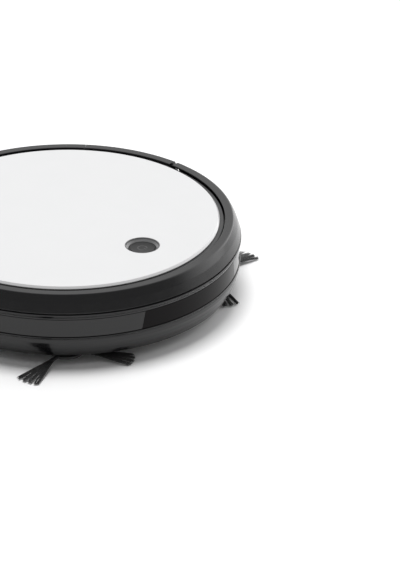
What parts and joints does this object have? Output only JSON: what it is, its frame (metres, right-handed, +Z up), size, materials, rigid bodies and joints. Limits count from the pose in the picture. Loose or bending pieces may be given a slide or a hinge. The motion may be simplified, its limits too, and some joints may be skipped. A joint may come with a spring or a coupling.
{
  "type": "robot vacuum",
  "caption": "Round robot vacuum with a white disc top in a black ring, sprung front bumper, side brushes, drive wheels, main brush and slide-out rear dust bin.",
  "frame": {"origin": "on the floor under the middle of the round body", "axes": "+Z up, -Y is the way the cleaner drives (bumper side), +X is the cleaner's own left"},
  "size_m": [0.3372, 0.3292, 0.078],
  "materials": {
    "gloss_white": "gloss",
    "gloss_black": "gloss",
    "satin_black": "satin",
    "matt_black": "matte",
    "window_black": "polished",
    "grey_plastic": "satin",
    "pale_grey": "satin",
    "smoke": "gloss",
    "rubber": "matte",
    "bristle": "matte",
    "steel": "satin",
    "zinc": "satin",
    "contact_metal": "satin",
    "board_green": "satin",
    "wrap_blue": "satin",
    "paper_white": "matte"
  },
  "bodies": {
    "body": {"base_chassis": "satin_black", "upper_housing": "gloss_black", "exhaust_grille": "satin_black", "top_cover": "gloss_white", "button_bezel": "pale_grey", "right_bumper_switch": "matt_black", "left_bumper_switch": "matt_black", "caster_socket": "matt_black", "main_brush_bearing": "pale_grey", "brush_housing": "matt_black", "brush_motor": "grey_plastic", "blower_housing": "matt_black", "blower_motor": "steel", "battery_pack": "wrap_blue", "battery_cover": "satin_black", "mainboard": "board_green", "right_charging_contact": "contact_metal", "left_charging_contact": "contact_metal", "right_side_cliff_sensor": "window_black", "right_front_cliff_sensor": "window_black", "left_front_cliff_sensor": "window_black", "left_side_cliff_sensor": "window_black", "left_side_brush_motor": "matt_black", "right_side_brush_motor": "matt_black", "left_suspension_spring": "steel", "right_suspension_spring": "steel"},
    "bumper": {"bumper_shell": "gloss_black", "right_bumper_band": "gloss_black", "left_bumper_band": "gloss_black", "sensor_window": "window_black", "sensor_board": "board_green"},
    "button": {"power_button": "grey_plastic"},
    "caster": {"caster_fork": "grey_plastic", "caster_axle": "steel"},
    "caster_roller": {"caster_wheel": "pale_grey"},
    "brush": {"main_brush_core": "satin_black", "main_brush_bristles": "bristle"},
    "guard": {"brush_guard": "satin_black"},
    "bin": {"dustbin_tank": "smoke", "dustbin_lid": "smoke", "filter_frame": "pale_grey", "dust_filter": "paper_white", "dustbin_rear_wall": "gloss_black"},
    "bin_release": {"bin_release_button": "satin_black"},
    "fan": {"impeller": "pale_grey"},
    "rocker": {"power_rocker": "matt_black"},
    "left_arm": {"left_suspension_arm": "grey_plastic", "left_wheel_motor": "steel"},
    "left_wheel": {"left_wheel_hub": "grey_plastic", "left_tyre": "rubber"},
    "left_side_brush": {"left_side_brush_hub": "matt_black", "left_side_brush_bristles": "bristle", "left_side_brush_screw": "zinc"},
    "right_arm": {"right_suspension_arm": "grey_plastic", "right_wheel_motor": "steel"},
    "right_wheel": {"right_wheel_hub": "grey_plastic", "right_tyre": "rubber"},
    "right_side_brush": {"right_side_brush_hub": "matt_black", "right_side_brush_bristles": "bristle", "right_side_brush_screw": "zinc"}
  },
  "joints": [
    {"name": "bumper_press", "type": "slide", "parent": "body", "child": "bumper", "axis": [0, 1, 0], "range_m": [0, 0.003], "stiffness_N_per_m": 600, "springref_m": -0.003},
    {"name": "power_button_press", "type": "slide", "parent": "body", "child": "button", "axis": [0, 0, -1], "range_m": [0, 0.0015], "stiffness_N_per_m": 800, "springref_m": -0.001},
    {"name": "left_suspension", "type": "hinge", "parent": "body", "child": "left_arm", "pos_m": [0.093, -0.05, 0.026], "axis": [-1, 0, 0], "range_deg": [0, 20], "stiffness_Nm_per_rad": 0.25, "springref_deg": 34.38, "deforming": ["left_suspension_spring"]},
    {"name": "left_wheel_spin", "type": "hinge", "parent": "left_arm", "child": "left_wheel", "pos_m": [0.115, 0, 0.033], "axis": [1, 0, 0], "continuous": true},
    {"name": "left_side_brush_spin", "type": "hinge", "parent": "body", "child": "left_side_brush", "pos_m": [0.104, -0.087, 0.007], "axis": [0, 0, 1], "continuous": true},
    {"name": "right_suspension", "type": "hinge", "parent": "body", "child": "right_arm", "pos_m": [-0.093, -0.05, 0.026], "axis": [-1, 0, 0], "range_deg": [0, 20], "stiffness_Nm_per_rad": 0.25, "springref_deg": 34.38, "deforming": ["right_suspension_spring"]},
    {"name": "right_wheel_spin", "type": "hinge", "parent": "right_arm", "child": "right_wheel", "pos_m": [-0.115, 0, 0.033], "axis": [1, 0, 0], "continuous": true},
    {"name": "right_side_brush_spin", "type": "hinge", "parent": "body", "child": "right_side_brush", "pos_m": [-0.104, -0.087, 0.007], "axis": [0, 0, 1], "continuous": true},
    {"name": "caster_swivel", "type": "hinge", "parent": "body", "child": "caster", "pos_m": [0, -0.117, 0.02], "axis": [0, 0, 1], "continuous": true},
    {"name": "caster_roll", "type": "hinge", "parent": "caster", "child": "caster_roller", "pos_m": [0, -0.115, 0.012], "axis": [1, 0, 0], "continuous": true},
    {"name": "main_brush_spin", "type": "hinge", "parent": "body", "child": "brush", "pos_m": [0, 0.037, 0.026], "axis": [1, 0, 0], "continuous": true},
    {"name": "brush_guard_removal", "type": "slide", "parent": "body", "child": "guard", "axis": [0, 0, -1], "range_m": [0, 0.03]},
    {"name": "dustbin_slide", "type": "slide", "parent": "body", "child": "bin", "axis": [0, 1, 0], "range_m": [0, 0.14]},
    {"name": "bin_release_press", "type": "slide", "parent": "bin", "child": "bin_release", "axis": [0, -1, 0], "range_m": [0, 0.0025], "stiffness_N_per_m": 600, "springref_m": -0.002},
    {"name": "impeller_spin", "type": "hinge", "parent": "body", "child": "fan", "pos_m": [0.076, 0.09, 0.042], "axis": [1, 0, 0], "continuous": true},
    {"name": "power_rocker_tilt", "type": "hinge", "parent": "body", "child": "rocker", "pos_m": [-0.066, -0.06, 0.0145], "axis": [0, 1, 0], "range_deg": [-5, 5]}
  ]
}
